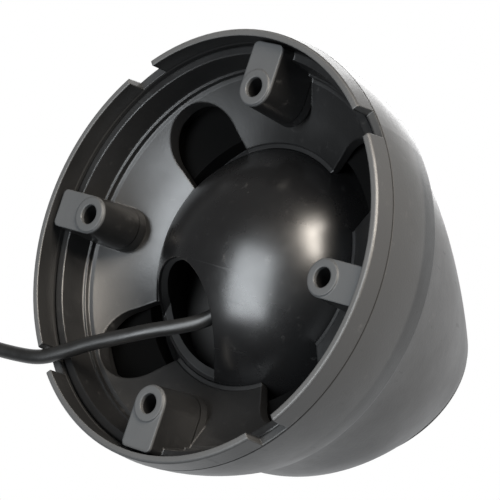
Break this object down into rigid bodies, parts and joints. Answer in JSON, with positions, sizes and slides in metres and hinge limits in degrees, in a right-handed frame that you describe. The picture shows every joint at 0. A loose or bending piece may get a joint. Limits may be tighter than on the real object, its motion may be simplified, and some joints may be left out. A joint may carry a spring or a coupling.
{
  "type": "car tweeter",
  "caption": "Surface-mount car tweeter: a domed screw-down cup with a ball socket, an angled head that turns in it, a silk-dome driver and a lead",
  "frame": {"origin": "centre of the cup's rim, in the plane that meets the mounting surface", "axes": "+Z from the mounting surface out to the listener, +X through the first screw boss; the head looks towards -X at rest"},
  "size_m": [0.0706, 0.1159, 0.0575],
  "materials": {
    "black_shell": "satin",
    "black_moulding": "semi-gloss",
    "black_gloss": "gloss",
    "felt": "matt",
    "steel": "bright",
    "zinc_steel": "zinc plated",
    "nickel": "nickel plated",
    "silk": "coated silk",
    "foil": "satin",
    "copper": null,
    "grille_steel": "black powder coat",
    "board": "matt",
    "rubber": "matt",
    "brass": "tinned",
    "wire_sheath": "matt",
    "cable_sheath": "matt"
  },
  "bodies": {
    "cup": {"dome_shell": "black_shell", "socket_frame": "black_moulding", "friction_ring": "black_moulding", "cable": "cable_sheath", "cable_coil": "cable_sheath", "cable_tail": "cable_sheath", "plug_housing": "black_moulding", "plug_contacts": "brass"},
    "head": {"ball_shell": "black_gloss", "swivel_ring": "black_moulding", "swivel_screws": "steel", "head_shell": "black_shell", "yoke": "zinc_steel", "magnet": "nickel", "pole_plate": "zinc_steel", "damping_felt": "felt", "surround": "silk", "driver_carrier": "black_moulding", "faceplate": "black_moulding", "bezel_ring": "black_shell", "grille": "grille_steel", "terminal_board": "board", "cord_grommet": "rubber", "board_tabs": "brass", "terminal_strip": "board", "driver_tabs": "brass", "lead_wire_positive": "wire_sheath", "lead_wire_negative": "wire_sheath"},
    "diaphragm": {"dome_diaphragm": "silk", "coil_former": "foil", "voice_coil": "copper"}
  },
  "joints": [
    {"name": "head_swivel", "type": "hinge", "parent": "cup", "child": "head", "pos_m": [0, 0, 0], "axis": [0, 0, 1], "range_deg": [-50, 0]},
    {"name": "voice_coil_travel", "type": "slide", "parent": "head", "child": "diaphragm", "axis": [-0.4147, 0, 0.91], "range_m": [-0.0003, 0.0003], "stiffness_N_per_m": 400}
  ]
}
